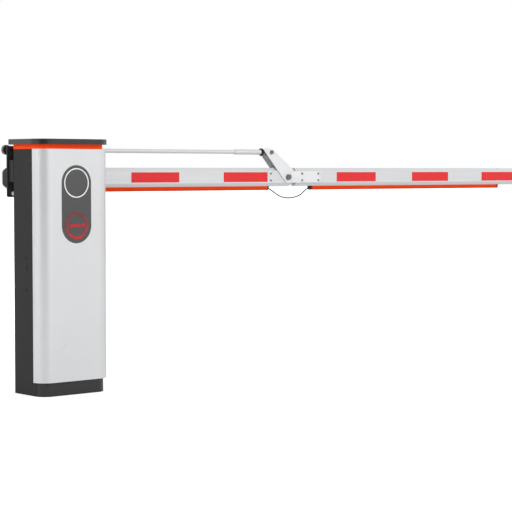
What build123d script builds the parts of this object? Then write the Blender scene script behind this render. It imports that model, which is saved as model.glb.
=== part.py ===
from build123d import *
import os
from math import atan2, cos, degrees, radians, sin, tan

# Folding-arm boom barrier. Millimetres, +Z up, +X along the lowered boom, the silver front faces -Y.
# The origin is the centre of the base's underside. The boom and its linkage run along the rear face.

os.makedirs("parts", exist_ok=True)

# Cabinet: a rounded steel core that stands on the ground
core_width = 310.0
core_depth = 196.0
core_corner = 45.0
rear_corner = 4.0
core_height = 961.0
sheet = 2.5
base_plate_thickness = 8.0
anchor_spacing_x = 230.0
anchor_spacing_y = 120.0
anchor_hole = 14.0
fit_gap = 0.3

# Front cover: a shallow pan that wraps the front and both front corners
cover_proud = 12.5
cover_wall = 2.0
cover_foot = 55.0
cover_wrap = 44.0

# Warning light ring and lid
ring_height = 18.0
ring_wall = 6.0
lid_thickness = 21.0
lid_overhang = 17.0
lid_rear_overhang = 16.0
lid_rear_corner = 12.0
lid_pocket = 13.0
lid_edge = 3.0

# Display on the front cover
panel_width = 138.0
panel_height = 304.0
panel_drop = 215.0
panel_proud = 0.8
panel_flange = 6.0
panel_flange_thickness = 3.0
emblem_diameter = 115.0
emblem_line = 4.0
emblem_thickness = 0.8
sign_diameter = 108.0
sign_line = 12.0
sign_bar_width = 78.0
sign_bar_height = 14.0
sign_thickness = 0.6

# Key lock on the left side
lock_width = 13.0
lock_height = 30.0
lock_proud = 1.2
lock_depth = 18.0
lock_y = 11.5
lock_drop = 464.0
key_slot_width = 3.0
key_slot_height = 11.0
key_slot_depth = 5.0

# Boom: an octagonal aluminium tube in two sections
boom_height = 82.0
boom_depth = 38.0
boom_chamfer_z = 15.0
boom_chamfer_y = 9.0
boom_wall = 2.5
end_plate_thickness = 3.0
boom_stand_off = 50.0
groove_width = 12.0
groove_depth = 5.0
groove_wall = 2.0
boom_reach = 3000.0
boom_tail = 107.0
fold_span = 1380.0
fold_clearance = 9.0
cap_lip = 1.0
cap_length = 26.0
cap_round = 24.0
cap_edge = 2.0
cap_plug = 20.0

# Drive shaft and the bearing that carries it
shaft_x = -42.0
shaft_diameter = 35.0
shaft_inside = 30.0
running_gap = 0.05
bearing_diameter = 84.0
bearing_flange_height = 9.0
bearing_hub_diameter = 62.0
bearing_edge = 1.5
hub_clearance = 0.4

# Bracket: a plate that stands off the rear face, with a cheek and a foot at each side
bracket_half_width = 121.0
bracket_thickness = 6.0
bracket_reach = 36.0
bracket_below_axis = 75.5
bracket_corner = 8.0
ear_margin = 15.0
ear_width = 46.0
cheek_inset = 8.0
cheek_thickness = 5.0
cheek_below_axis = 16.0
cheek_above_axis = 70.0
foot_width = 34.0
foot_hole_rise = 27.0
foot_hole_spacing = 46.0
bracket_bolt = 12.0
bracket_bolt_head = 18.0
bracket_bolt_head_height = 7.0
bracket_bolt_spacing = 188.0
spacer_bolt_drop = 62.0
standoff_diameter = 18.0
hole_play = 0.4

# Clamp that holds the boom on the shaft
clamp_front_thickness = 8.0
clamp_rear_thickness = 6.0
clamp_behind = 80.0
clamp_ahead = 150.0
clamp_corner = 20.0
clamp_bolt = 12.0
clamp_bolt_head = 18.0
clamp_bolt_head_height = 7.0
clamp_bolt_spacing_x = 136.0
clamp_bolt_spacing_z = 40.0
clamp_bolt_centre = 32.0

# Parallel linkage: the lever on the outer section, the tie rod and its anchor
link_back = 101.0
link_rise = 111.0
link_drop = 2.0
lever_plate = 3.0
lever_gap = 1.0
lever_nose = 39.0
lever_nose_top = 19.0
lever_top_slope = 6.0
lever_top_length = 46.0
lever_foot_back = 19.5
lever_foot_rise = 1.0
lever_strap_end = 200.0
lever_web_start = 14.0
lever_web_trim = 22.0
lever_corner = 9.0
strap_screw_near = 85.0
strap_screw_far = 185.0
strap_screw_spacing_z = 30.0
strap_screw_head = 9.0
strap_screw_head_height = 2.5
fold_bolt = 16.0
fold_bolt_head = 24.0
fold_bolt_head_height = 9.0
fold_bush_diameter = 24.0
lever_bolt = 10.0
lever_bolt_head = 16.0
lever_bolt_head_height = 6.5
spacer_diameter = 17.0
side_play = 0.5
open_pivot_play = 0.6
rod_diameter = 17.0
rod_wall = 2.0
rod_shank = 12.0
rod_shank_grip = 30.0
anchor_eye_diameter = 39.0
anchor_eye_thickness = 14.0
anchor_ball = 25.0
anchor_ball_width = 18.0
anchor_neck = 50.0
eye_chamfer = 1.5
anchor_pin = 12.0
anchor_collar = 24.0
anchor_nut_height = 9.0
anchor_pin_tip = 3.0
anchor_nut_size = 19.0
lever_eye_diameter = 32.0
lever_eye_thickness = 13.0
lever_ball = 21.0
lever_ball_width = 16.0
lever_neck = 47.0
jam_nut_size = 30.0
jam_nut_height = 10.0
sleeve_diameter = 23.0
sleeve_length = 150.0
sleeve_edge = 1.5

# Light strips under the boom
strip_width = 22.0
strip_height = 17.5
strip_round = 6.0
strip_start = 160.0
strip_cap_length = 8.0
strip_cap_toe = 5.0
strip_cap_lip = 0.8
inner_strip_gap = 106.0
outer_strip_gap = 149.0
outer_strip_stop = 151.0
gland_diameter = 8.0
gland_length = 14.0
gland_taper = 4.5
gland_inset = 3.0
gland_drop = 4.5

# Reflective bands on both faces of the boom
band_length = 255.0
band_height = 43.0
band_thickness = 0.6
inner_band_start = 501.0
inner_band_stop = 376.0
inner_band_count = 2
outer_band_start = 306.0
outer_band_stop = 284.0
outer_band_count = 3

# Loop of cable that feeds the outer light strip past the fold
# The points of its route are distances ahead of the fold pivot and below the boom
cable_diameter = 5.0
cable_droop_angle = 27.0
cable_first_run = 24.0
cable_last_run = 20.0
cable_points = [(-41.2, -42.2), (-3.8, -53.4), (41.4, -54.6), (95.4, -42.6)]

# Places worked out from the driving sizes
core_front = -core_depth / 2
core_rear = core_depth / 2
core_left = -core_width / 2
cover_face = core_front - cover_proud
cover_back = core_front + cover_wrap
ring_top = core_height + ring_height
panel_centre_z = core_height - panel_drop
lock_z = core_height - lock_drop
boom_front = core_rear + boom_stand_off
boom_mid = boom_front + boom_depth / 2
boom_rear = boom_front + boom_depth
link_z = core_height - link_drop
boom_axis_z = link_z - link_rise
boom_bottom = boom_axis_z - boom_height / 2
boom_top = boom_axis_z + boom_height / 2
fold_x = shaft_x + fold_span
outer_start = fold_x + boom_height / 2 + fold_clearance
tube_start = shaft_x - boom_tail + cap_length
tube_end = shaft_x + boom_reach - cap_length
anchor_x = shaft_x - link_back
lever_x = fold_x - link_back
lever_front = boom_front - lever_gap - lever_plate
lever_rear = boom_rear + lever_gap + lever_plate
bracket_rear = core_rear + bracket_reach
bracket_inner = bracket_rear - bracket_thickness
clamp_front = boom_front - clamp_front_thickness
clamp_rear = boom_rear + clamp_rear_thickness
bracket_low_z = boom_axis_z - bracket_below_axis
bracket_high_z = link_z - anchor_collar / 2
ear_high_z = link_z + ear_margin
foot_hole_z = boom_axis_z + foot_hole_rise
spacer_bolt_z = boom_axis_z - spacer_bolt_drop
flat_half = boom_height / 2 - boom_chamfer_z


def plane_back(x, y, z):
    """A plane whose normal points to +Y; its local x runs to +X and its local y to -Z."""
    return Plane(origin=(x, y, z), x_dir=(1, 0, 0), z_dir=(0, 1, 0))


def plane_front(x, y, z):
    """A plane whose normal points to -Y; its local x runs to +X and its local y to +Z."""
    return Plane(origin=(x, y, z), x_dir=(1, 0, 0), z_dir=(0, -1, 0))


def plane_along(x, y=boom_mid, z=boom_axis_z):
    """A plane across the boom: its normal points to +X, its local x to +Y and its local y to +Z."""
    return Plane(origin=(x, y, z), x_dir=(0, 1, 0), z_dir=(1, 0, 0))


def cabinet_outline(grow, back):
    """The cabinet's plan: straight sides, a flat back and two round front corners, grown all round."""
    side = core_width / 2 + grow
    front = core_front - grow
    far = core_depth
    corner = core_corner + grow
    with BuildSketch() as outline:
        with BuildLine():
            FilletPolyline((-side, far), (-side, front), (side, front), (side, far), radius=corner)
            Line((side, far), (-side, far))
        make_face()
        with Locations((0, back)):
            Rectangle(2 * side, 2 * core_depth, align=(Align.CENTER, Align.MIN), mode=Mode.SUBTRACT)
    return outline.sketch


def boom_outline(grow=0.0):
    """The boom's octagonal section, grown or shrunk all round."""
    half_depth = boom_depth / 2
    half_height = boom_height / 2
    with BuildSketch() as outline:
        with BuildLine():
            Polyline(
                (0, half_height),
                (half_depth - boom_chamfer_y, half_height),
                (half_depth, half_height - boom_chamfer_z),
                (half_depth, 0),
            )
            mirror(about=Plane.YZ)
            mirror(about=Plane.XZ)
        make_face()
        if grow:
            offset(amount=grow, kind=Kind.INTERSECTION, mode=Mode.REPLACE)
    return outline.sketch


def boom_section():
    """The extruded tube, with a groove along its underside that the light strips clip into."""
    upward = (Align.CENTER, Align.MIN)
    with BuildSketch() as section:
        add(boom_outline())
        add(boom_outline(-boom_wall), mode=Mode.SUBTRACT)
        with Locations((0, -boom_height / 2)):
            Rectangle(groove_width + 2 * groove_wall, groove_depth + groove_wall, align=upward)
            Rectangle(groove_width, groove_depth, align=upward, mode=Mode.SUBTRACT)
    return section.sketch


def plug_outline():
    """The plug of an end cap, which fills the tube and clears the groove's walls."""
    clear_width = groove_width + 2 * groove_wall + 2 * fit_gap
    clear_depth = groove_depth + groove_wall + fit_gap
    with BuildSketch() as outline:
        add(boom_outline(-boom_wall - fit_gap))
        with Locations((0, -boom_height / 2)):
            Rectangle(clear_width, clear_depth, align=(Align.CENTER, Align.MIN), mode=Mode.SUBTRACT)
    return outline.sketch


def strip_outline(grow=0.0):
    """The light strip's section, hanging from local zero, with a round underside."""
    with BuildSketch() as outline:
        with Locations((0, -strip_height / 2)):
            Rectangle(strip_width + 2 * grow, strip_height)
        fillet(outline.vertices().group_by(Axis.Y)[0], radius=strip_round)
    return outline.sketch


# Base plate with its four anchor holes
with BuildPart() as base_plate:
    with BuildSketch():
        add(cabinet_outline(-sheet - fit_gap, core_rear - sheet - fit_gap))
        with GridLocations(anchor_spacing_x, anchor_spacing_y, 2, 2):
            Circle(anchor_hole / 2, mode=Mode.SUBTRACT)
    extrude(amount=base_plate_thickness)
base_plate.part.label = "base_plate"
export_step(base_plate.part, "parts/base_plate.step")

# Cabinet body: a folded sheet tube, pierced at the back for the shaft and the bolts
with BuildPart() as cabinet_body:
    with BuildSketch():
        add(cabinet_outline(0, core_rear))
        fillet(vertices().group_by(Axis.Y)[-1], radius=rear_corner)
        add(cabinet_outline(-sheet, core_rear - sheet), mode=Mode.SUBTRACT)
    extrude(amount=core_height)
    with BuildSketch(plane_back(0, core_rear - 2 * sheet, 0)):
        with Locations((shaft_x, -boom_axis_z)):
            Circle(bearing_hub_diameter / 2)
        with Locations((shaft_x, -foot_hole_z)):
            with GridLocations(bracket_bolt_spacing, foot_hole_spacing, 2, 2):
                Circle((bracket_bolt + hole_play) / 2)
        with Locations((shaft_x, -spacer_bolt_z)):
            with GridLocations(bracket_bolt_spacing, 0, 2, 1):
                Circle((bracket_bolt + hole_play) / 2)
    extrude(amount=3 * sheet, mode=Mode.SUBTRACT)
    lock_plane = Plane(origin=(core_left - sheet, lock_y, lock_z), x_dir=(0, 1, 0), z_dir=(1, 0, 0))
    with BuildSketch(lock_plane):
        SlotOverall(lock_height + 2 * fit_gap, lock_width + 2 * fit_gap, rotation=90)
    extrude(amount=3 * sheet, mode=Mode.SUBTRACT)
cabinet_body.part.label = "cabinet_body"
export_step(cabinet_body.part, "parts/cabinet_body.step")

# Front cover: outer skin with returns at the rear edges, the top and the foot
with BuildPart() as front_cover:
    with BuildSketch(Plane.XY.offset(cover_foot)):
        add(cabinet_outline(cover_proud, cover_back))
        add(cabinet_outline(fit_gap, core_rear), mode=Mode.SUBTRACT)
    extrude(amount=core_height - cover_foot)
    with BuildSketch(Plane.XY.offset(cover_foot + cover_wall)):
        add(cabinet_outline(cover_proud - cover_wall, cover_back - cover_wall))
    extrude(amount=core_height - cover_foot - 2 * cover_wall, mode=Mode.SUBTRACT)
    with BuildSketch(plane_front(0, cover_face + 2 * cover_wall, panel_centre_z)):
        SlotOverall(panel_height + 2 * fit_gap, panel_width + 2 * fit_gap, rotation=90)
    extrude(amount=3 * cover_wall, mode=Mode.SUBTRACT)
front_cover.part.label = "front_cover"
export_step(front_cover.part, "parts/front_cover.step")

# Light ring between the body and the lid
with BuildPart() as light_ring:
    with BuildSketch(Plane.XY.offset(core_height)):
        add(cabinet_outline(0, core_rear))
        fillet(vertices().group_by(Axis.Y)[-1], radius=rear_corner)
        add(cabinet_outline(-ring_wall, core_rear - ring_wall), mode=Mode.SUBTRACT)
    extrude(amount=ring_height)
light_ring.part.label = "light_ring"
export_step(light_ring.part, "parts/light_ring.step")

# Lid: overhangs on all sides and is hollowed from below
with BuildPart() as cabinet_lid:
    with BuildSketch(Plane.XY.offset(ring_top)):
        add(cabinet_outline(lid_overhang, core_rear + lid_rear_overhang))
        fillet(vertices().group_by(Axis.Y)[-1], radius=lid_rear_corner)
    extrude(amount=lid_thickness)
    fillet(faces().sort_by(Axis.Z)[-1].edges(), radius=lid_edge)
    with BuildSketch(Plane.XY.offset(ring_top)):
        add(cabinet_outline(-ring_wall, core_rear - ring_wall))
    extrude(amount=lid_pocket, mode=Mode.SUBTRACT)
cabinet_lid.part.label = "cabinet_lid"
export_step(cabinet_lid.part, "parts/cabinet_lid.step")

# Display panel: fills the cover's slot and is held by a flange behind it
with BuildPart() as display_panel:
    with BuildSketch(plane_front(0, cover_face + cover_wall + fit_gap, panel_centre_z)):
        SlotOverall(panel_height, panel_width, rotation=90)
    extrude(amount=cover_wall + fit_gap + panel_proud)
    with BuildSketch(plane_back(0, cover_face + cover_wall + fit_gap, panel_centre_z)):
        SlotOverall(panel_height + 2 * panel_flange, panel_width + 2 * panel_flange, rotation=90)
    extrude(amount=panel_flange_thickness)
display_panel.part.label = "display_panel"
export_step(display_panel.part, "parts/display_panel.step")

# Plain ring in the upper half of the display
emblem_z = panel_centre_z + (panel_height - panel_width) / 2
sign_z = panel_centre_z - (panel_height - panel_width) / 2
panel_face = cover_face - panel_proud
with BuildPart() as emblem_ring:
    with BuildSketch(plane_front(0, panel_face, emblem_z)):
        Circle(emblem_diameter / 2)
        Circle(emblem_diameter / 2 - emblem_line, mode=Mode.SUBTRACT)
    extrude(amount=emblem_thickness)
emblem_ring.part.label = "emblem_ring"
export_step(emblem_ring.part, "parts/emblem_ring.step")

# Stop sign in the lower half of the display: a ring with a bar
with BuildPart() as stop_sign:
    with BuildSketch(plane_front(0, panel_face, sign_z)):
        Circle(sign_diameter / 2)
        Circle(sign_diameter / 2 - sign_line, mode=Mode.SUBTRACT)
        Rectangle(sign_bar_width, sign_bar_height)
    extrude(amount=sign_thickness)
stop_sign.part.label = "stop_sign"
export_step(stop_sign.part, "parts/stop_sign.step")

# Key lock in the left side
with BuildPart() as side_lock:
    face_plane = Plane(origin=(core_left - lock_proud, lock_y, lock_z), x_dir=(0, 1, 0), z_dir=(1, 0, 0))
    with BuildSketch(face_plane):
        SlotOverall(lock_height, lock_width, rotation=90)
    extrude(amount=lock_depth)
    with BuildSketch(face_plane):
        Rectangle(key_slot_width, key_slot_height)
    extrude(amount=key_slot_depth, mode=Mode.SUBTRACT)
side_lock.part.label = "side_lock"
export_step(side_lock.part, "parts/side_lock.step")

# Bracket: outer plate with an ear for the anchor stud, cheeks beside the shaft and feet on the cabinet
with BuildPart() as pivot_bracket:
    left = -bracket_half_width
    right = bracket_half_width
    with BuildSketch(plane_front(shaft_x, bracket_rear, 0)):
        with BuildLine():
            Polyline(
                (left, bracket_low_z),
                (right, bracket_low_z),
                (right, bracket_high_z),
                (left + ear_width + ear_high_z - bracket_high_z, bracket_high_z),
                (left + ear_width, ear_high_z),
                (left, ear_high_z),
                close=True,
            )
        make_face()
        fillet(vertices(), radius=bracket_corner)
        with Locations((0, boom_axis_z)):
            Circle(bearing_hub_diameter / 2 + hub_clearance, mode=Mode.SUBTRACT)
        with Locations((-link_back, link_z)):
            Circle((anchor_pin + hole_play) / 2, mode=Mode.SUBTRACT)
        with Locations((0, spacer_bolt_z)):
            with GridLocations(bracket_bolt_spacing, 0, 2, 1):
                Circle((bracket_bolt + hole_play) / 2, mode=Mode.SUBTRACT)
    extrude(amount=bracket_thickness)
    cheek_height = cheek_below_axis + cheek_above_axis
    cheek_z = boom_axis_z + (cheek_above_axis - cheek_below_axis) / 2
    for heading in (-1, 1):
        cheek_face = heading * (bracket_half_width - cheek_inset)
        cheek_x = cheek_face - heading * cheek_thickness / 2
        with BuildSketch(plane_front(shaft_x, bracket_inner, cheek_z)):
            with Locations((cheek_x, 0)):
                Rectangle(cheek_thickness, cheek_height)
        extrude(amount=bracket_inner - core_rear)
        with BuildSketch(plane_back(shaft_x, core_rear, cheek_z)):
            with Locations((cheek_face - heading * foot_width / 2, 0)):
                Rectangle(foot_width, cheek_height)
            with Locations((heading * bracket_bolt_spacing / 2, cheek_z - foot_hole_z)):
                with GridLocations(0, foot_hole_spacing, 1, 2):
                    Circle((bracket_bolt + hole_play) / 2, mode=Mode.SUBTRACT)
        extrude(amount=bracket_thickness)
pivot_bracket.part.label = "pivot_bracket"
export_step(pivot_bracket.part, "parts/pivot_bracket.step")

# Hex bolts of the bracket: four in its feet and two long ones through the outer plate and its spacers
foot_seat = core_rear + bracket_thickness
bracket_bolt_rows = (
    (foot_seat, foot_hole_z - foot_hole_spacing / 2),
    (foot_seat, foot_hole_z + foot_hole_spacing / 2),
    (bracket_rear, spacer_bolt_z),
)
with BuildPart() as bracket_bolts:
    for seat_y, row_z in bracket_bolt_rows:
        with BuildSketch(plane_front(shaft_x, seat_y + bracket_bolt_head_height, row_z)):
            with GridLocations(bracket_bolt_spacing, 0, 2, 1):
                RegularPolygon(bracket_bolt_head / 2, 6, major_radius=False)
        extrude(amount=bracket_bolt_head_height)
        with BuildSketch(plane_front(shaft_x, seat_y, row_z)):
            with GridLocations(bracket_bolt_spacing, 0, 2, 1):
                Circle(bracket_bolt / 2)
        extrude(amount=seat_y - core_rear + 2 * sheet)
bracket_bolts.part.label = "bracket_bolts"
export_step(bracket_bolts.part, "parts/bracket_bolts.step")

# Spacer tubes that hold the foot of the outer plate off the cabinet
with BuildPart() as bracket_spacers:
    with BuildSketch(plane_back(shaft_x, core_rear, spacer_bolt_z)):
        with GridLocations(bracket_bolt_spacing, 0, 2, 1):
            Circle(standoff_diameter / 2)
            Circle((bracket_bolt + hole_play) / 2, mode=Mode.SUBTRACT)
    extrude(amount=bracket_inner - core_rear)
bracket_spacers.part.label = "bracket_spacers"
export_step(bracket_spacers.part, "parts/bracket_spacers.step")

# Flanged bearing on the cabinet, bored for the shaft; its hub reaches through the bracket's outer plate
with BuildPart() as shaft_bearing:
    with BuildSketch(plane_back(shaft_x, core_rear, boom_axis_z)):
        Circle(bearing_diameter / 2)
    extrude(amount=bearing_flange_height)
    with BuildSketch(plane_back(shaft_x, core_rear, boom_axis_z)):
        Circle(bearing_hub_diameter / 2)
    extrude(amount=bracket_reach)
    with BuildSketch(plane_back(shaft_x, core_rear, boom_axis_z)):
        Circle(shaft_diameter / 2 + running_gap)
    extrude(amount=bracket_reach, mode=Mode.SUBTRACT)
    chamfer(faces().sort_by(Axis.Y)[-1].edges(), length=bearing_edge)
shaft_bearing.part.label = "shaft_bearing"
export_step(shaft_bearing.part, "parts/shaft_bearing.step")

# Anchor stud: a pin with a thick collar that stands the tie rod off the bracket
ball_front = boom_mid - anchor_ball_width / 2
ball_rear = boom_mid + anchor_ball_width / 2
with BuildPart() as anchor_stud:
    with BuildSketch(plane_back(anchor_x, bracket_rear, link_z)):
        Circle(anchor_collar / 2)
    extrude(amount=ball_front - side_play - bracket_rear)
    with BuildSketch(plane_back(anchor_x, bracket_inner, link_z)):
        Circle(anchor_pin / 2)
    extrude(amount=ball_rear + side_play + anchor_nut_height + anchor_pin_tip - bracket_inner)
anchor_stud.part.label = "anchor_stud"
export_step(anchor_stud.part, "parts/anchor_stud.step")

with BuildPart() as anchor_nut:
    with BuildSketch(plane_back(anchor_x, ball_rear + side_play, link_z)):
        RegularPolygon(anchor_nut_size / 2, 6, major_radius=False)
        Circle(anchor_pin / 2 + fit_gap / 2, mode=Mode.SUBTRACT)
    extrude(amount=anchor_nut_height)
anchor_nut.part.label = "anchor_nut"
export_step(anchor_nut.part, "parts/anchor_nut.step")

# Drive shaft, from inside the cabinet to the clamp
with BuildPart() as drive_shaft:
    with BuildSketch(plane_back(shaft_x, core_rear - shaft_inside, boom_axis_z)):
        Circle(shaft_diameter / 2)
    extrude(amount=clamp_front - core_rear + shaft_inside)
drive_shaft.part.label = "drive_shaft"
export_step(drive_shaft.part, "parts/drive_shaft.step")

# Clamp plates on both faces of the boom's tail
clamp_length = clamp_behind + clamp_ahead
clamp_centre = shaft_x + (clamp_ahead - clamp_behind) / 2
for name, y, thickness in (
    ("clamp_plate_front", clamp_front, clamp_front_thickness),
    ("clamp_plate_rear", boom_rear, clamp_rear_thickness),
):
    with BuildPart() as clamp_plate:
        with BuildSketch(plane_back(clamp_centre, y, boom_axis_z)):
            RectangleRounded(clamp_length, boom_height, clamp_corner)
            with Locations((shaft_x + clamp_bolt_centre - clamp_centre, 0)):
                with GridLocations(clamp_bolt_spacing_x, clamp_bolt_spacing_z, 2, 2):
                    Circle((clamp_bolt + hole_play) / 2, mode=Mode.SUBTRACT)
        extrude(amount=thickness)
    clamp_plate.part.label = name
    export_step(clamp_plate.part, f"parts/{name}.step")

# Bolts of the clamp, with heads behind and threads that end flush with the front plate
with BuildPart() as clamp_bolts:
    with BuildSketch(plane_back(shaft_x + clamp_bolt_centre, clamp_front, boom_axis_z)):
        with GridLocations(clamp_bolt_spacing_x, clamp_bolt_spacing_z, 2, 2):
            Circle(clamp_bolt / 2)
    extrude(amount=clamp_rear - clamp_front)
    with BuildSketch(plane_back(shaft_x + clamp_bolt_centre, clamp_rear, boom_axis_z)):
        with GridLocations(clamp_bolt_spacing_x, clamp_bolt_spacing_z, 2, 2):
            RegularPolygon(clamp_bolt_head / 2, 6, major_radius=False)
    extrude(amount=clamp_bolt_head_height)
clamp_bolts.part.label = "clamp_bolts"
export_step(clamp_bolts.part, "parts/clamp_bolts.step")

# Inner boom section, with a half-round nose about the fold pivot
nose_radius = boom_height / 2
with BuildPart() as inner_boom:
    with BuildSketch(plane_along(tube_start)):
        add(boom_section())
    extrude(amount=fold_x + nose_radius - tube_start)
    with BuildSketch(plane_back(fold_x, boom_front - boom_wall, boom_axis_z)):
        with Locations((nose_radius, 0)):
            Rectangle(2 * nose_radius, 3 * nose_radius)
        Circle(nose_radius, mode=Mode.SUBTRACT)
    extrude(amount=boom_depth + 2 * boom_wall, mode=Mode.SUBTRACT)
    with BuildSketch(plane_back(fold_x, boom_front - boom_wall, boom_axis_z)):
        Circle(fold_bush_diameter / 2 + fit_gap)
    extrude(amount=boom_depth + 2 * boom_wall, mode=Mode.SUBTRACT)
    with BuildSketch(plane_back(shaft_x + clamp_bolt_centre, boom_front - boom_wall, boom_axis_z)):
        with GridLocations(clamp_bolt_spacing_x, clamp_bolt_spacing_z, 2, 2):
            Circle((clamp_bolt + hole_play) / 2)
    extrude(amount=boom_depth + 2 * boom_wall, mode=Mode.SUBTRACT)
inner_boom.part.label = "inner_boom"
export_step(inner_boom.part, "parts/inner_boom.step")

# Outer boom section, with a plate that closes its end at the fold
with BuildPart() as outer_boom:
    with BuildSketch(plane_along(outer_start)):
        add(boom_section())
    extrude(amount=tube_end - outer_start)
    with BuildSketch(plane_along(outer_start)):
        add(boom_outline())
    extrude(amount=end_plate_thickness)
outer_boom.part.label = "outer_boom"
export_step(outer_boom.part, "parts/outer_boom.step")

# Caps that close both ends of the boom: rounded plastic covers with a plug inside the tube
for side, start_x, heading in (("tail", tube_start, -1), ("end", tube_end, 1)):
    cap_plane = Plane(origin=(start_x, boom_mid, boom_axis_z), x_dir=(0, heading, 0), z_dir=(heading, 0, 0))
    with BuildPart() as boom_cap:
        with BuildSketch(cap_plane):
            add(boom_outline(cap_lip))
        extrude(amount=cap_length)
        with BuildSketch(plane_back(start_x, boom_front - boom_wall, boom_axis_z)):
            RectangleRounded(2 * cap_length, boom_height + 2 * cap_lip, cap_round)
        extrude(amount=boom_depth + 2 * boom_wall, mode=Mode.INTERSECT)
        with BuildSketch(cap_plane):
            add(plug_outline())
        extrude(amount=-cap_plug)
    boom_cap.part.label = f"boom_{side}_cap"
    export_step(boom_cap.part, f"parts/boom_{side}_cap.step")

# Bush through the inner boom's nose, bored for the fold bolt
with BuildPart() as fold_bush:
    with BuildSketch(plane_back(fold_x, boom_front, boom_axis_z)):
        Circle(fold_bush_diameter / 2)
        Circle(fold_bolt / 2 + running_gap, mode=Mode.SUBTRACT)
    extrude(amount=boom_depth)
fold_bush.part.label = "fold_bush"
export_step(fold_bush.part, "parts/fold_bush.step")

# Lever: a channel whose flanges are the fold's side plates, with a web along its upper edge
lever_angle_x = link_back / (link_back**2 + link_rise**2) ** 0.5
lever_angle_z = link_rise / (link_back**2 + link_rise**2) ** 0.5
lobe_x = -flat_half * lever_angle_z
lobe_z = -flat_half * lever_angle_x
nose_x = -link_back - lever_nose
nose_low_z = lobe_z + (lobe_x - nose_x) * lever_angle_z / lever_angle_x
nose_top_z = link_rise + lever_nose_top
top_right_x = nose_x + lever_top_length
top_right_z = nose_top_z - lever_top_slope
foot_x = lever_foot_back
foot_z = boom_height / 2 + lever_foot_rise
web_run = ((foot_x - top_right_x) ** 2 + (top_right_z - foot_z) ** 2) ** 0.5
web_dx = (foot_x - top_right_x) / web_run
web_dz = (foot_z - top_right_z) / web_run
lever_depth = lever_rear - lever_front
with BuildPart() as fold_lever:
    with BuildSketch(plane_front(fold_x, lever_rear, boom_axis_z)):
        with BuildLine():
            Polyline(
                (lobe_x, lobe_z),
                (nose_x, nose_low_z),
                (nose_x, nose_top_z),
                (top_right_x, top_right_z),
                (foot_x, foot_z),
                (foot_x + foot_z - flat_half, flat_half),
                (0, 0),
                close=True,
            )
        make_face()
        fillet(vertices().sort_by(Axis.X)[:2], radius=lever_corner)
        Circle(flat_half)
        with Locations((lever_strap_end / 2, 0)):
            Rectangle(lever_strap_end, 2 * flat_half)
        Circle((fold_bolt + hole_play) / 2, mode=Mode.SUBTRACT)
        with Locations((-link_back, link_rise)):
            Circle((lever_bolt + hole_play) / 2, mode=Mode.SUBTRACT)
    extrude(amount=lever_depth)
    with BuildSketch(plane_front(fold_x, lever_rear - lever_plate, boom_axis_z)):
        Rectangle(4 * lever_strap_end, 4 * lever_strap_end)
        with BuildLine():
            Polyline(
                (top_right_x + lever_web_trim * web_dx, top_right_z + lever_web_trim * web_dz),
                (foot_x - lever_web_start * web_dx, foot_z - lever_web_start * web_dz),
                (
                    foot_x - lever_web_start * web_dx + lever_plate * web_dz,
                    foot_z - lever_web_start * web_dz - lever_plate * web_dx,
                ),
                (
                    top_right_x + lever_web_trim * web_dx + lever_plate * web_dz,
                    top_right_z + lever_web_trim * web_dz - lever_plate * web_dx,
                ),
                close=True,
            )
        make_face(mode=Mode.SUBTRACT)
    extrude(amount=lever_depth - 2 * lever_plate, mode=Mode.SUBTRACT)
    pad_start = outer_start - fold_x
    for y, direction in ((lever_front + lever_plate, 1), (lever_rear - lever_plate, -1)):
        with BuildSketch(plane_back(fold_x + (pad_start + lever_strap_end) / 2, y, boom_axis_z)):
            Rectangle(lever_strap_end - pad_start, 2 * flat_half)
        extrude(amount=direction * lever_gap)
fold_lever.part.label = "fold_lever"
export_step(fold_lever.part, "parts/fold_lever.step")

# Fold bolt, lever bolt and the screws of the lever's straps
with BuildPart() as fold_pin:
    with BuildSketch(plane_back(fold_x, lever_front - fold_bolt_head_height, boom_axis_z)):
        RegularPolygon(fold_bolt_head / 2, 6, major_radius=False)
    extrude(amount=fold_bolt_head_height)
    with BuildSketch(plane_back(fold_x, lever_front, boom_axis_z)):
        Circle(fold_bolt / 2)
    extrude(amount=lever_depth)
    with BuildSketch(plane_back(fold_x, lever_rear, boom_axis_z)):
        RegularPolygon(fold_bolt_head / 2, 6, major_radius=False)
    extrude(amount=fold_bolt_head_height)
fold_pin.part.label = "fold_pin"
export_step(fold_pin.part, "parts/fold_pin.step")

with BuildPart() as lever_pin:
    with BuildSketch(plane_back(lever_x, lever_front - lever_bolt_head_height, link_z)):
        RegularPolygon(lever_bolt_head / 2, 6, major_radius=False)
    extrude(amount=lever_bolt_head_height)
    with BuildSketch(plane_back(lever_x, lever_front, link_z)):
        Circle(lever_bolt / 2)
    extrude(amount=lever_depth)
    with BuildSketch(plane_back(lever_x, lever_rear, link_z)):
        RegularPolygon(lever_bolt_head / 2, 6, major_radius=False)
    extrude(amount=lever_bolt_head_height)
lever_pin.part.label = "lever_pin"
export_step(lever_pin.part, "parts/lever_pin.step")

with BuildPart() as strap_screws:
    screw_x = fold_x + (strap_screw_near + strap_screw_far) / 2
    for y in (lever_front - strap_screw_head_height, lever_rear):
        with BuildSketch(plane_back(screw_x, y, boom_axis_z)):
            with GridLocations(strap_screw_far - strap_screw_near, strap_screw_spacing_z, 2, 2):
                Circle(strap_screw_head / 2)
        extrude(amount=strap_screw_head_height)
strap_screws.part.label = "strap_screws"
export_step(strap_screws.part, "parts/strap_screws.step")

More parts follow.
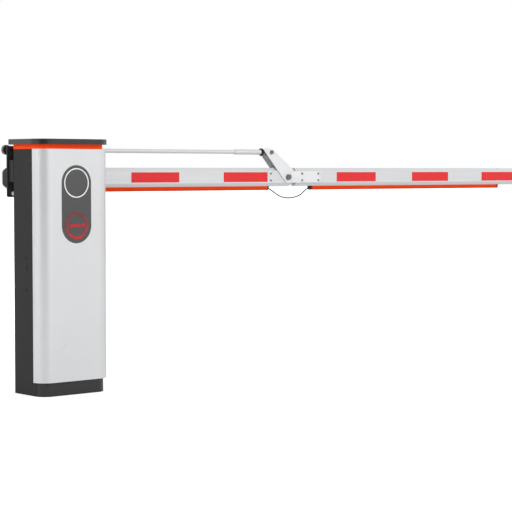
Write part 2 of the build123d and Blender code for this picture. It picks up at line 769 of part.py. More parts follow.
# Spacers that keep the tie rod's eye in the middle of the lever
lever_ball_front = boom_mid - lever_ball_width / 2
with BuildPart() as lever_spacers:
    spacer_length = lever_ball_front - side_play - lever_front - lever_plate
    for y in (lever_front + lever_plate, lever_rear - lever_plate - spacer_length):
        with BuildSketch(plane_back(lever_x, y, link_z)):
            Circle(spacer_diameter / 2)
            Circle((lever_bolt + hole_play) / 2, mode=Mode.SUBTRACT)
        extrude(amount=spacer_length)
lever_spacers.part.label = "lever_spacers"
export_step(lever_spacers.part, "parts/lever_spacers.step")

# Tie rod: tube, adjusting sleeve, an eye at each end and the nuts that lock them
rod_start = anchor_x + anchor_neck
rod_end = lever_x - lever_neck
with BuildPart() as tie_rod_tube:
    with BuildSketch(plane_along(rod_start, boom_mid, link_z)):
        Circle(rod_diameter / 2)
        Circle(rod_diameter / 2 - rod_wall, mode=Mode.SUBTRACT)
    extrude(amount=rod_end - rod_start)
tie_rod_tube.part.label = "tie_rod_tube"
export_step(tie_rod_tube.part, "parts/tie_rod_tube.step")

with BuildPart() as adjuster_sleeve:
    with BuildSketch(plane_along(rod_end - sleeve_length, boom_mid, link_z)):
        Circle(sleeve_diameter / 2)
        Circle(rod_diameter / 2 + fit_gap / 2, mode=Mode.SUBTRACT)
    extrude(amount=sleeve_length)
    chamfer(edges().filter_by(GeomType.CIRCLE).sort_by(SortBy.RADIUS)[-2:], length=sleeve_edge)
adjuster_sleeve.part.label = "adjuster_sleeve"
export_step(adjuster_sleeve.part, "parts/adjuster_sleeve.step")

anchor_end = (anchor_x, anchor_eye_diameter, anchor_eye_thickness, anchor_ball, rod_start + rod_shank_grip)
lever_end = (lever_x, lever_eye_diameter, lever_eye_thickness, lever_ball, rod_end - rod_shank_grip)
for side, (eye_x, diameter, thickness, ball, shank_end) in {"anchor": anchor_end, "lever": lever_end}.items():
    with BuildPart() as eye_end:
        with BuildSketch(plane_back(eye_x, boom_mid - thickness / 2, link_z)):
            Circle(diameter / 2)
        extrude(amount=thickness)
        chamfer(eye_end.edges(), length=eye_chamfer)
        with BuildSketch(plane_along(eye_x, boom_mid, link_z)):
            Circle(rod_shank / 2)
        extrude(amount=shank_end - eye_x)
        with BuildSketch(Plane(origin=(eye_x, boom_mid, link_z), x_dir=(1, 0, 0), z_dir=(0, 0, 1))):
            with BuildLine():
                socket_arc = CenterArc((0, 0), ball / 2 + fit_gap, -90, 180)
                Line(socket_arc @ 0, socket_arc @ 1)
            make_face()
        revolve(axis=Axis((eye_x, boom_mid, link_z), (0, 1, 0)), mode=Mode.SUBTRACT)
    eye_end.part.label = f"{side}_rod_end"
    export_step(eye_end.part, f"parts/{side}_rod_end.step")

# Balls of the rod ends, bored for the anchor stud and for the lever pin
with BuildPart() as rod_end_balls:
    for eye_x, ball, width, bore in (
        (anchor_x, anchor_ball, anchor_ball_width, anchor_pin / 2 + running_gap),
        (lever_x, lever_ball, lever_ball_width, lever_bolt / 2 + open_pivot_play),
    ):
        face_radius = ((ball / 2) ** 2 - (width / 2) ** 2) ** 0.5
        with BuildSketch(Plane(origin=(eye_x, boom_mid, link_z), x_dir=(1, 0, 0), z_dir=(0, 0, 1))):
            with BuildLine():
                Polyline(
                    (face_radius, width / 2),
                    (bore, width / 2),
                    (bore, -width / 2),
                    (face_radius, -width / 2),
                )
                RadiusArc((face_radius, -width / 2), (face_radius, width / 2), -ball / 2)
            make_face()
        revolve(axis=Axis((eye_x, boom_mid, link_z), (0, 1, 0)))
rod_end_balls.part.label = "rod_end_balls"
export_step(rod_end_balls.part, "parts/rod_end_balls.step")

with BuildPart() as jam_nuts:
    for x in (rod_start - jam_nut_height, rod_end):
        with BuildSketch(plane_along(x, boom_mid, link_z)):
            RegularPolygon(jam_nut_size / 2, 6, major_radius=False, rotation=30)
            Circle(rod_shank / 2 + fit_gap / 2, mode=Mode.SUBTRACT)
        extrude(amount=jam_nut_height)
jam_nuts.part.label = "jam_nuts"
export_step(jam_nuts.part, "parts/jam_nuts.step")

# Light strips, hung under both boom sections
strip_spans = {
    "inner": (shaft_x + strip_start, fold_x - inner_strip_gap),
    "outer": (fold_x + outer_strip_gap, tube_end - outer_strip_stop),
}
for side, (low_x, high_x) in strip_spans.items():
    with BuildPart() as light_strip:
        with BuildSketch(plane_along(low_x + strip_cap_length, boom_mid, boom_bottom)):
            add(strip_outline())
            Rectangle(groove_width - 2 * fit_gap, groove_depth - fit_gap, align=(Align.CENTER, Align.MIN))
        extrude(amount=high_x - low_x - 2 * strip_cap_length)
    light_strip.part.label = f"{side}_light_strip"
    export_step(light_strip.part, f"parts/{side}_light_strip.step")

# End caps of the strips; the two at the fold carry a slanted gland for the cable
gland_z = boom_bottom - gland_drop
strip_cap_angle = degrees(atan2(strip_height, strip_cap_length - strip_cap_toe))
droop = radians(cable_droop_angle)
gland_left = Vector(strip_spans["inner"][1] - gland_inset, boom_mid, gland_z)
gland_right = Vector(strip_spans["outer"][0] + gland_inset, boom_mid, gland_z)
glands = {"inner": (gland_left, 1), "outer": (gland_right, -1)}
for side, (low_x, high_x) in strip_spans.items():
    gland_point, heading = glands[side]
    with BuildPart() as strip_caps:
        for x in (low_x, high_x - strip_cap_length):
            with BuildSketch(plane_along(x, boom_mid, boom_bottom)):
                add(strip_outline(strip_cap_lip))
            extrude(amount=strip_cap_length)
        with BuildSketch(plane_front((low_x + high_x) / 2, boom_rear, boom_bottom)):
            below = (Align.CENTER, Align.MIN)
            Trapezoid(high_x - low_x, strip_height, strip_cap_angle, rotation=180, align=below)
        extrude(amount=boom_depth, mode=Mode.INTERSECT)
        gland_axis = (heading * cos(droop), 0, -sin(droop))
        with BuildSketch(Plane(origin=gland_point, x_dir=(0, 1, 0), z_dir=gland_axis)):
            Circle(gland_diameter / 2)
        extrude(amount=gland_length, taper=gland_taper)
    strip_caps.part.label = f"{side}_strip_caps"
    export_step(strip_caps.part, f"parts/{side}_strip_caps.step")

# Reflective bands, front and rear
band_spans = {
    "inner": (shaft_x + inner_band_start, fold_x - inner_band_stop, inner_band_count),
    "outer": (fold_x + outer_band_start, tube_end - outer_band_stop, outer_band_count),
}
for side, (first_x, last_x, count) in band_spans.items():
    with BuildPart() as bands:
        for y in (boom_front - band_thickness, boom_rear):
            with BuildSketch(plane_back((first_x + last_x + band_length) / 2, y, boom_axis_z)):
                with GridLocations((last_x - first_x) / (count - 1), 0, count, 1):
                    Rectangle(band_length, band_height)
            extrude(amount=band_thickness)
    bands.part.label = f"{side}_reflectors"
    export_step(bands.part, f"parts/{side}_reflectors.step")

# Cable loop: straight runs joined by tangent arcs, from gland to gland
left_heading = Vector(cos(droop), 0, -sin(droop))
right_heading = Vector(-cos(droop), 0, -sin(droop))
cable_start = gland_left + left_heading * gland_length
cable_end = gland_right + right_heading * gland_length
cable_bends = [Vector(fold_x + ahead, boom_mid, boom_bottom + below) for ahead, below in cable_points]
cable_route = [
    cable_start,
    cable_start + left_heading * cable_first_run,
    *cable_bends,
    cable_end + right_heading * cable_last_run,
    cable_end,
]
arc_share = 0.45
cable_radii = []
for before, here, after in zip(cable_route, cable_route[1:], cable_route[2:]):
    turn = (here - before).get_angle(after - here)
    shorter = min((here - before).length, (after - here).length)
    cable_radii.append(arc_share * shorter / tan(radians(turn / 2)))
print("cable bend radii", [round(radius, 1) for radius in cable_radii])

with BuildPart() as loop_cable:
    with BuildLine() as cable_path:
        cable_line = FilletPolyline(*cable_route, radius=cable_radii)
    with BuildSketch(Plane(origin=cable_start, x_dir=(0, 1, 0), z_dir=cable_line % 0)):
        cable_section = Circle(cable_diameter / 2)
    sweep()
print("cable length", round(cable_line.length, 1), "mm")
straight_volume = cable_section.area * cable_line.length
print("cable volume", round(loop_cable.part.volume), "section times length", round(straight_volume))
loop_cable.part.label = "loop_cable"
export_step(loop_cable.part, "parts/loop_cable.step")
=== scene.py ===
import math

import bmesh
import bpy
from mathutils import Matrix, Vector


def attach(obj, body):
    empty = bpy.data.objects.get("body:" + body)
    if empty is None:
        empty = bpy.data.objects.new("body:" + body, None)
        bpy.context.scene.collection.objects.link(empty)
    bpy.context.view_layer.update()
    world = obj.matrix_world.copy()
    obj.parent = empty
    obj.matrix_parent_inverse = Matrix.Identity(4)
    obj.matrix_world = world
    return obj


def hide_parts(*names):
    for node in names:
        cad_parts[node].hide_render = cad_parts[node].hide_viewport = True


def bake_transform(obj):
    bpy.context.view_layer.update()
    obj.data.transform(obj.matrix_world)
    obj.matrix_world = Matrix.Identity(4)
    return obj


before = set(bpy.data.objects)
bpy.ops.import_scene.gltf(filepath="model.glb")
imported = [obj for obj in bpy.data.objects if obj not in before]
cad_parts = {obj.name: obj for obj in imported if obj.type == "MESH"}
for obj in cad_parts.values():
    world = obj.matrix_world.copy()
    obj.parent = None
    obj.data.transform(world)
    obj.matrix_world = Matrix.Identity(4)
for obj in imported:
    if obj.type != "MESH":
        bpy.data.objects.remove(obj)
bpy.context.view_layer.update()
mm = 0.001

# Small helpers

colourA, colourB, colourOut = 6, 7, 2  # a Mix node's sockets when it mixes colours
noiseReach = (0.3, 0.7)  # nearly all values of a noise texture lie between these
noiseSumReach = (0.7, 1.3)  # and of two noises added


def hexToLinear(hexColour):  # sRGB hex as a designer writes it, to the linear values that shaders take
    channels = [int(hexColour[i:i + 2], 16) / 255 for i in (1, 3, 5)]
    linear = [c / 12.92 if c <= 0.04045 else ((c + 0.055) / 1.055) ** 2.4 for c in channels]
    return (*linear, 1.0)


def addNode(tree, kind, links=None, **settings):  # one node, its settings, and what goes into its sockets
    node = tree.nodes.new(kind)
    for name, value in settings.items():
        setattr(node, name, value)
    for socket, source in (links or {}).items():
        if isinstance(source, bpy.types.NodeSocket):
            tree.links.new(source, node.inputs[socket])
        else:
            node.inputs[socket].default_value = source
    return node


def newMaterial(name, baseHex, roughness, metallic=0.0, **extras):  # one colour and gloss, ready for patterns
    material = bpy.data.materials.new(name)
    material.use_nodes = True
    material.diffuse_color = hexToLinear(baseHex)
    tree = material.node_tree
    shader = tree.nodes["Principled BSDF"]
    shader.inputs["Base Color"].default_value = hexToLinear(baseHex)
    shader.inputs["Roughness"].default_value = roughness
    shader.inputs["Metallic"].default_value = metallic
    for socket, value in extras.items():
        shader.inputs[socket.replace("_", " ")].default_value = value
    return material, tree, shader


def addGrain(tree, shader, look):  # mottled tone, uneven gloss and a fine relief, all at millimetre scales
    place = addNode(tree, "ShaderNodeTexCoord").outputs["Object"]
    stretched = addNode(tree, "ShaderNodeMapping", {
        "Vector": place, "Scale": look.get("stretch", (1, 1, 1)),
    }).outputs[0]
    patch = addNode(tree, "ShaderNodeTexNoise", {
        "Vector": stretched, "Scale": 1 / look["patch"], "Detail": 3.0, "Roughness": 0.6,
    })
    grain = addNode(tree, "ShaderNodeTexNoise", {
        "Vector": stretched, "Scale": 1 / look["grain"], "Detail": 2.0, "Roughness": 0.5,
    })
    both = addNode(tree, "ShaderNodeMath", {0: patch.outputs[0], 1: grain.outputs[0]}, operation="ADD")
    low, high = noiseSumReach
    spread = addNode(tree, "ShaderNodeMapRange", {0: both.outputs[0], 1: low, 2: high})
    tone = addNode(tree, "ShaderNodeMix", {
        0: spread.outputs[0], colourA: hexToLinear(look["dark"]), colourB: hexToLinear(look["light"]),
    }, data_type="RGBA").outputs[colourOut]
    tree.links.new(tone, shader.inputs["Base Color"])
    (low, high), (smoothest, roughest) = noiseReach, look["roughness"]
    gloss = addNode(tree, "ShaderNodeMapRange", {
        0: patch.outputs[0], 1: low, 2: high, 3: smoothest, 4: roughest,
    })
    tree.links.new(gloss.outputs[0], shader.inputs["Roughness"])
    relief = addNode(tree, "ShaderNodeBump", {
        "Strength": 1.0, "Distance": look["relief"], "Height": grain.outputs[0],
    })
    tree.links.new(relief.outputs[0], shader.inputs["Normal"])
    return place, tone


print("frame loaded")

# Camera at the photograph's viewing angle

cameraSet = {
    "place": (-3.8118, -5.5808, 0.8789),
    "turn": 40.89,  # degrees from straight ahead towards the boom's free end
    "downTilt": 2.89,
    "lens": 119.63,  # both in millimetres
    "sensorWidth": 36,
}
cameraData = bpy.data.cameras.new("photoCamera")
cameraData.lens = cameraSet["lens"]
cameraData.sensor_width = cameraSet["sensorWidth"]
camera = bpy.data.objects.new("photoCamera", cameraData)
camera.location = cameraSet["place"]
camera.rotation_euler = (math.radians(90 - cameraSet["downTilt"]), 0, -math.radians(cameraSet["turn"]))
bpy.context.collection.objects.link(camera)
bpy.context.scene.camera = camera
print("camera set")

# Loop cable: a jacketed lead that hangs between the two light strips

cable = {
    "diameter": 5.0 * mm,
    "foldX": 1.338,
    "boomY": 0.167,
    "boomBottom": 0.807,
    "bends": [(-41.2, -42.2), (-3.8, -53.4), (41.4, -54.6), (95.4, -42.6)],  # mm past the fold and above the bottom
    "firstRun": 24.0 * mm,  # straight out of a gland, before the first bend and after the last
    "lastRun": 20.0 * mm,
    "droop": math.radians(27.0),
    "glandLength": 14.0 * mm,
    "glandLeft": Vector((1.229, 0.167, 0.8025)),
    "glandRight": Vector((1.490, 0.167, 0.8025)),
    "steps": 16,  # between two bends
    "sides": 16,
}


def pointsAlong(route):  # a smooth line that the route's points pull into shape
    curve = bpy.data.curves.new("cableRoute", "CURVE")
    curve.dimensions = "3D"
    curve.resolution_u = cable["steps"]
    spline = curve.splines.new("NURBS")
    spline.points.add(len(route) - 1)
    for point, place in zip(spline.points, route):
        point.co = (*place, 1)
    spline.order_u = 3
    spline.use_endpoint_u = True
    routeObject = bpy.data.objects.new("cableRoute", curve)
    bpy.context.collection.objects.link(routeObject)
    depsgraph = bpy.context.evaluated_depsgraph_get()
    routeMesh = bpy.data.meshes.new_from_object(routeObject.evaluated_get(depsgraph))
    bpy.data.objects.remove(routeObject)
    return [vertex.co.copy() for vertex in routeMesh.vertices]


def makeTube(line):  # a round, closed jacket along the line
    shape = bmesh.new()
    side = Vector((0, 1, 0))
    turns = [2 * math.pi * k / cable["sides"] for k in range(cable["sides"])]
    rings = []
    for i, place in enumerate(line):
        ahead = (line[min(i + 1, len(line) - 1)] - line[max(i - 1, 0)]).normalized()
        up = side.cross(ahead)
        rings.append([
            shape.verts.new(place + (side * math.cos(turn) + up * math.sin(turn)) * cable["diameter"] / 2)
            for turn in turns
        ])
    for near, far in zip(rings, rings[1:]):
        for k in range(cable["sides"]):
            shape.faces.new((near[k], near[k - 1], far[k - 1], far[k]))
    shape.faces.new(rings[0])
    shape.faces.new(reversed(rings[-1]))
    bmesh.ops.recalc_face_normals(shape, faces=shape.faces)
    for face in shape.faces:
        face.smooth = len(face.verts) == 4  # the ends stay flat
    mesh = bpy.data.meshes.new("loopCable")
    shape.to_mesh(mesh)
    shape.free()
    return mesh


def makeLoopCable():
    leftHeading = Vector((math.cos(cable["droop"]), 0, -math.sin(cable["droop"])))
    rightHeading = Vector((-math.cos(cable["droop"]), 0, -math.sin(cable["droop"])))
    start = cable["glandLeft"] + leftHeading * cable["glandLength"]
    end = cable["glandRight"] + rightHeading * cable["glandLength"]
    bends = [
        Vector((cable["foldX"] + ahead * mm, cable["boomY"], cable["boomBottom"] + above * mm))
        for ahead, above in cable["bends"]
    ]
    line = pointsAlong([
        start, start + leftHeading * cable["firstRun"], *bends, end + rightHeading * cable["lastRun"], end,
    ])
    piece = bpy.data.objects.new("loopCable", makeTube(line))
    bpy.context.collection.objects.link(piece)
    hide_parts("loop_cable")
    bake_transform(piece)
    return piece


loopCable = makeLoopCable()

# Cabinet paint: polyester powder coat on folded steel, which gives the eye a satin, faintly pebbled dark grey

cabinetCoat, tree, shader = newMaterial("cabinetPowderCoat", "#252525", roughness=0.5, Specular_IOR_Level=0.25)
place, tone = addGrain(tree, shader, {
    "patch": 90 * mm, "grain": 3 * mm, "dark": "#232323", "light": "#282828",
    "roughness": (0.44, 0.56), "relief": 0.05 * mm,
})

# The plinth's front below the cover has a glossier black coat, which mirrors the room and darkens at the corners

plinth = {"top": 72 * mm, "front": -62 * mm, "tone": "#1F1F1F", "coatRoughness": 0.12}
split = addNode(tree, "ShaderNodeSeparateXYZ", {0: place})
low = addNode(tree, "ShaderNodeMath", {0: split.outputs[2], 1: plinth["top"]}, operation="LESS_THAN")
ahead = addNode(tree, "ShaderNodeMath", {0: split.outputs[1], 1: plinth["front"]}, operation="LESS_THAN")
mask = addNode(tree, "ShaderNodeMath", {0: low.outputs[0], 1: ahead.outputs[0]}, operation="MULTIPLY").outputs[0]
plinthTone = addNode(tree, "ShaderNodeMix", {
    0: mask, colourA: tone, colourB: hexToLinear(plinth["tone"]),
}, data_type="RGBA")
tree.links.new(plinthTone.outputs[colourOut], shader.inputs["Base Color"])
tree.links.new(mask, shader.inputs["Coat Weight"])
shader.inputs["Coat Roughness"].default_value = plinth["coatRoughness"]

# Cover paint: silver metallic powder coat, smooth, with a soft sheen that falls off where it turns from the light

coverCoat, tree, shader = newMaterial("coverSilverCoat", "#E5E6E7", roughness=0.30, metallic=0.6)
addGrain(tree, shader, {
    "patch": 160 * mm, "grain": 1.6 * mm, "dark": "#E2E3E4", "light": "#E6E7E8",
    "roughness": (0.27, 0.33), "relief": 0.01 * mm,
})

# Lid: gloss black lacquer over a moulding, so it shows the bright room and turns black where it can't

lidLacquer, tree, shader = newMaterial(
    "lidGlossLacquer", "#1A1A1A", roughness=0.32, Coat_Weight=0.6, Coat_Roughness=0.16,
)
addGrain(tree, shader, {
    "patch": 70 * mm, "grain": 6 * mm, "dark": "#181818", "light": "#1D1D1C",
    "roughness": (0.29, 0.36), "relief": 0.02 * mm,
})

# Bracket, bearing and clamp plates: thick black powder coat on cast and cut steel, coarser than the cabinet's

bracketCoat, tree, shader = newMaterial("bracketPowderCoat", "#2C2C2C", roughness=0.5, Specular_IOR_Level=0.3)
addGrain(tree, shader, {
    "patch": 45 * mm, "grain": 2.5 * mm, "dark": "#2A2A2A", "light": "#343434",
    "roughness": (0.42, 0.60), "relief": 0.12 * mm,
})

# Light lenses: frosted orange polycarbonate, extruded, lit softly and in faint beats by the lamps behind

lensLook = {
    "base": "#D23604",
    "lampColour": "#FF4000",
    "lampPitch": 16 * mm,
    "glow": {"ringOrangeLens": (0.27, 0.32), "stripOrangeLens": (0.0, 0.03)},  # the ring's lamps sit closer to it
}
lenses = {}
for name, (dimmest, brightest) in lensLook["glow"].items():
    lenses[name], tree, shader = newMaterial(name, lensLook["base"], roughness=0.55, Specular_IOR_Level=0.12)
    place, _ = addGrain(tree, shader, {
        "patch": 60 * mm, "grain": 2 * mm, "dark": "#CA3602", "light": "#D83E08",
        "roughness": (0.42, 0.55), "relief": 0.02 * mm,
    })
    split = addNode(tree, "ShaderNodeSeparateXYZ", {0: place})
    along = addNode(tree, "ShaderNodeMath", {0: split.outputs[0], 1: split.outputs[1]}, operation="ADD")
    beat = addNode(tree, "ShaderNodeMath", {
        0: along.outputs[0], 1: 2 * math.pi / lensLook["lampPitch"],
    }, operation="MULTIPLY")
    pulse = addNode(tree, "ShaderNodeMath", {0: beat.outputs[0]}, operation="SINE")
    glow = addNode(tree, "ShaderNodeMapRange", {0: pulse.outputs[0], 1: -1.0, 2: 1.0, 3: dimmest, 4: brightest})
    shader.inputs["Emission Color"].default_value = hexToLinear(lensLook["lampColour"])
    tree.links.new(glow.outputs[0], shader.inputs["Emission Strength"])

# Display: smoked acrylic, flat and glossy, with a faint grid of unlit lamps behind it

displayLook = {
    "base": "#4D4D4D",
    "clear": "#4F4F4F",
    "dot": "#444444",
    "dotPitch": 5 * mm,
    "dotEdge": (0.45, 0.80),  # how far up its wave a dot starts and is full
    "hazePatch": 35 * mm,
    "roughness": (0.11, 0.18),
}
smokedAcrylic, tree, shader = newMaterial("smokedAcrylic", displayLook["base"], roughness=0.14)
place = addNode(tree, "ShaderNodeTexCoord").outputs["Object"]
split = addNode(tree, "ShaderNodeSeparateXYZ", {0: place})
waves = []
for axis in (0, 2):  # across and up the sheet
    beat = addNode(tree, "ShaderNodeMath", {
        0: split.outputs[axis], 1: 2 * math.pi / displayLook["dotPitch"],
    }, operation="MULTIPLY")
    waves.append(addNode(tree, "ShaderNodeMath", {0: beat.outputs[0]}, operation="COSINE"))
dots = addNode(tree, "ShaderNodeMath", {0: waves[0].outputs[0], 1: waves[1].outputs[0]}, operation="MULTIPLY")
starts, full = displayLook["dotEdge"]
dotMask = addNode(tree, "ShaderNodeMapRange", {0: dots.outputs[0], 1: starts, 2: full})
tone = addNode(tree, "ShaderNodeMix", {
    0: dotMask.outputs[0], colourA: hexToLinear(displayLook["clear"]), colourB: hexToLinear(displayLook["dot"]),
}, data_type="RGBA")
tree.links.new(tone.outputs[colourOut], shader.inputs["Base Color"])
haze = addNode(tree, "ShaderNodeTexNoise", {"Vector": place, "Scale": 1 / displayLook["hazePatch"], "Detail": 2.0})
(low, high), (smoothest, roughest) = noiseReach, displayLook["roughness"]
gloss = addNode(tree, "ShaderNodeMapRange", {0: haze.outputs[0], 1: low, 2: high, 3: smoothest, 4: roughest})
tree.links.new(gloss.outputs[0], shader.inputs["Roughness"])

# Emblem ring: white screen print, a little uneven where the mesh of the screen left it thinner

whiteInk, tree, shader = newMaterial("whiteScreenInk", "#F0F0F0", roughness=0.45)
addGrain(tree, shader, {
    "patch": 12 * mm, "grain": 0.8 * mm, "dark": "#E6E6E6", "light": "#F6F6F6",
    "roughness": (0.40, 0.50), "relief": 0.02 * mm,
})

# Stop sign: red lamps behind the smoked sheet, bright at the bar and below it and fading towards the rim. The
# lighter red on the field around them is painted glow, and the lenses' brighter base tone there is painted light
# beside their real emission

signLight = {
    "place": (0.0, -0.112, 0.636),
    "reach": (24 * mm, 84 * mm),  # full light up to the first, none from the second
    "fieldPaintedGlow": "#8E3033",
    "lensPaintedGlow": "#C9262C",
    "lampColour": "#D8262C",
    "brightest": 0.16,
}


def paintSignGlow(tree, place, tone, shader, paintedGlowHex):  # brings the painted glow colour in close to the sign's light: painted light, not the sign's own colour
    offset = addNode(tree, "ShaderNodeVectorMath", {0: place, 1: signLight["place"]}, operation="DISTANCE")
    near, far = signLight["reach"]
    share = addNode(tree, "ShaderNodeMapRange", {0: offset.outputs["Value"], 1: near, 2: far, 3: 1.0, 4: 0.0})
    faded = addNode(tree, "ShaderNodeMix", {
        0: share.outputs[0], colourA: tone, colourB: hexToLinear(paintedGlowHex),
    }, data_type="RGBA")
    tree.links.new(faded.outputs[colourOut], shader.inputs["Base Color"])
    return share


# The field's red lightens towards the sign's light: painted glow from the lamps, not the field's own colour
lampField, tree, shader = newMaterial("redLampField", "#6B3B3C", roughness=0.3)
place, tone = addGrain(tree, shader, {
    "patch": 26 * mm, "grain": 3.2 * mm, "dark": "#5C3F40", "light": "#6E4445",
    "roughness": (0.24, 0.34), "relief": 0.05 * mm,
})
paintSignGlow(tree, place, tone, shader, signLight["fieldPaintedGlow"])
# The lenses' base tone brightens towards the sign's light as painted light; their emission is the lamps' real glow
lampLens, tree, shader = newMaterial("redLampLens", "#B5282C", roughness=0.25)
place, tone = addGrain(tree, shader, {
    "patch": 22 * mm, "grain": 3 * mm, "dark": "#683536", "light": "#7A3436",
    "roughness": (0.20, 0.30), "relief": 0.02 * mm,
})
share = paintSignGlow(tree, place, tone, shader, signLight["lensPaintedGlow"])
glow = addNode(tree, "ShaderNodeMapRange", {0: share.outputs[0], 3: 0.0, 4: signLight["brightest"]})
shader.inputs["Emission Color"].default_value = hexToLinear(signLight["lampColour"])
tree.links.new(glow.outputs[0], shader.inputs["Emission Strength"])

# End caps and lock: black ABS from a spark-eroded mould, matt with a fine grain

mouldedBlack, tree, shader = newMaterial("mouldedBlackAbs", "#222222", roughness=0.55)
addGrain(tree, shader, {
    "patch": 30 * mm, "grain": 1.4 * mm, "dark": "#1E1E1E", "light": "#272727",
    "roughness": (0.48, 0.62), "relief": 0.06 * mm,
})

# Bolts, nut, washers, bush and balls: bright zinc plate on steel, bluish and yellowish by turns in a fine mottle

zincPlate, tree, shader = newMaterial("brightZincPlate", "#B9B9B5", roughness=0.34, metallic=1.0)
addGrain(tree, shader, {
    "patch": 9 * mm, "grain": 1.2 * mm, "dark": "#9FA0A2", "light": "#C9C8C0",
    "roughness": (0.26, 0.44), "relief": 0.03 * mm,
})

# Pins, strap and insert screws, and rod ends: phosphated steel, mid grey with a dull shine

greySteel, tree, shader = newMaterial("phosphatedSteel", "#85868A", roughness=0.38, metallic=0.9)
addGrain(tree, shader, {
    "patch": 8 * mm, "grain": 1.2 * mm, "dark": "#5E5F62", "light": "#97989A",
    "roughness": (0.30, 0.46), "relief": 0.05 * mm,
})

# Stud, shaft, jam nuts and cover screws: black oxide on steel, oily dark with lighter worn crests

blackOxide, tree, shader = newMaterial("blackOxideSteel", "#2B2B2D", roughness=0.36, metallic=0.9)
addGrain(tree, shader, {
    "patch": 11 * mm, "grain": 1.5 * mm, "dark": "#1C1C1E", "light": "#4A4A4C",
    "roughness": (0.28, 0.46), "relief": 0.05 * mm,
})

# Boom: extruded aluminium, satin anodised, with drawn lines that run along its length

boomAnodised, tree, shader = newMaterial("anodisedBoom", "#DADBDD", roughness=0.38, metallic=0.45)
addGrain(tree, shader, {
    "stretch": (0.012, 1, 1), "patch": 14 * mm, "grain": 2.2 * mm, "dark": "#D7D8DA", "light": "#DFE0E2",
    "roughness": (0.36, 0.44), "relief": 0.02 * mm,
})

# Lever: pale grey stove enamel on steel plate, which looks even and silky

leverEnamel, tree, shader = newMaterial("leverEnamel", "#D7D8D9", roughness=0.42)
addGrain(tree, shader, {
    "patch": 60 * mm, "grain": 2 * mm, "dark": "#D4D5D6", "light": "#DBDCDD",
    "roughness": (0.36, 0.48), "relief": 0.04 * mm,
})

# Tie rod, its sleeve and the spacers: drawn aluminium tube, with soft highlights and faint lines along it

drawnTube, tree, shader = newMaterial("drawnAluminiumTube", "#D8D9DA", roughness=0.36, metallic=0.4)
addGrain(tree, shader, {
    "stretch": (0.02, 1, 1), "patch": 8 * mm, "grain": 1.2 * mm, "dark": "#D2D3D4", "light": "#DCDDDE",
    "roughness": (0.30, 0.42), "relief": 0.02 * mm,
})

# Reflective bands: red prismatic film, drawn with 6 mm cells because the real 3 mm ones are too fine to show

filmLook = {
    "base": "#D42E31",
    "seam": "#DE4849",
    "cell": "#D22B2E",
    "cellSize": 6 * mm,
    "seamEdge": 0.22,  # how far up its wave a cell is full
    "relief": 0.05 * mm,
    "reliefStrength": 0.6,
    "turns": (90, 30, -30),  # degrees, one for each set of parallel seams
}
prismFilm, tree, shader = newMaterial("redPrismaticFilm", filmLook["base"], roughness=0.42, Specular_IOR_Level=0.2)
place = addNode(tree, "ShaderNodeTexCoord").outputs["Object"]
lines = []
for turn in filmLook["turns"]:
    turned = addNode(tree, "ShaderNodeMapping", {"Vector": place, "Rotation": (0, math.radians(turn), 0)})
    split = addNode(tree, "ShaderNodeSeparateXYZ", {0: turned.outputs[0]})
    beat = addNode(tree, "ShaderNodeMath", {
        0: split.outputs[0], 1: math.pi / filmLook["cellSize"],
    }, operation="MULTIPLY")
    wave = addNode(tree, "ShaderNodeMath", {0: beat.outputs[0]}, operation="SINE")
    lines.append(addNode(tree, "ShaderNodeMath", {0: wave.outputs[0]}, operation="ABSOLUTE"))
pair = addNode(tree, "ShaderNodeMath", {0: lines[0].outputs[0], 1: lines[1].outputs[0]}, operation="MINIMUM")
seam = addNode(tree, "ShaderNodeMath", {0: pair.outputs[0], 1: lines[2].outputs[0]}, operation="MINIMUM")
cell = addNode(tree, "ShaderNodeMapRange", {0: seam.outputs[0], 1: 0.0, 2: filmLook["seamEdge"]})
tone = addNode(tree, "ShaderNodeMix", {
    0: cell.outputs[0], colourA: hexToLinear(filmLook["seam"]), colourB: hexToLinear(filmLook["cell"]),
}, data_type="RGBA")
tree.links.new(tone.outputs[colourOut], shader.inputs["Base Color"])
relief = addNode(tree, "ShaderNodeBump", {
    "Strength": filmLook["reliefStrength"], "Distance": filmLook["relief"], "Height": cell.outputs[0],
})
tree.links.new(relief.outputs[0], shader.inputs["Normal"])

# Cable jacket: matt black PVC, faintly ribbed by the strands under it

cableJacket, tree, shader = newMaterial("matBlackPvc", "#1D1D1D", roughness=0.6, Specular_IOR_Level=0.3)
addGrain(tree, shader, {
    "patch": 20 * mm, "grain": 1.5 * mm, "dark": "#191919", "light": "#232323",
    "roughness": (0.54, 0.66), "relief": 0.06 * mm,
})

finishes = {
    cabinetCoat: ["base_plate", "cabinet_body"],
    coverCoat: ["front_cover"],
    lidLacquer: ["cabinet_lid"],
    bracketCoat: ["pivot_bracket", "shaft_bearing", "clamp_plate_front", "clamp_plate_rear"],
    lenses["ringOrangeLens"]: ["light_ring"],
    lenses["stripOrangeLens"]: ["inner_light_strip", "outer_light_strip"],
    smokedAcrylic: ["display_panel"],
    whiteInk: ["emblem_ring"],
    lampField: ["stop_sign"],
    mouldedBlack: ["side_lock", "boom_tail_cap", "boom_end_cap", "inner_strip_caps", "outer_strip_caps"],
    zincPlate: ["bracket_bolts", "clamp_bolts", "fold_bush", "anchor_nut", "rod_end_balls"],
    greySteel: ["fold_pin", "lever_pin", "strap_screws", "anchor_rod_end", "lever_rod_end"],
    blackOxide: ["anchor_stud", "drive_shaft", "jam_nuts"],
    boomAnodised: ["inner_boom", "outer_boom"],
    prismFilm: ["inner_reflectors", "outer_reflectors"],
    leverEnamel: ["fold_lever"],
    drawnTube: ["tie_rod_tube", "adjuster_sleeve", "bracket_spacers", "lever_spacers"],
}
for material, nodeNames in finishes.items():
    for nodeName in nodeNames:
        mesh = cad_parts[nodeName].data
        mesh.materials.clear()
        mesh.materials.append(material)
loopCable.data.materials.append(cableJacket)
print("finishes assigned")

# Geometry Nodes: fasteners, one on every point of a mesh and turned to face the way the point says


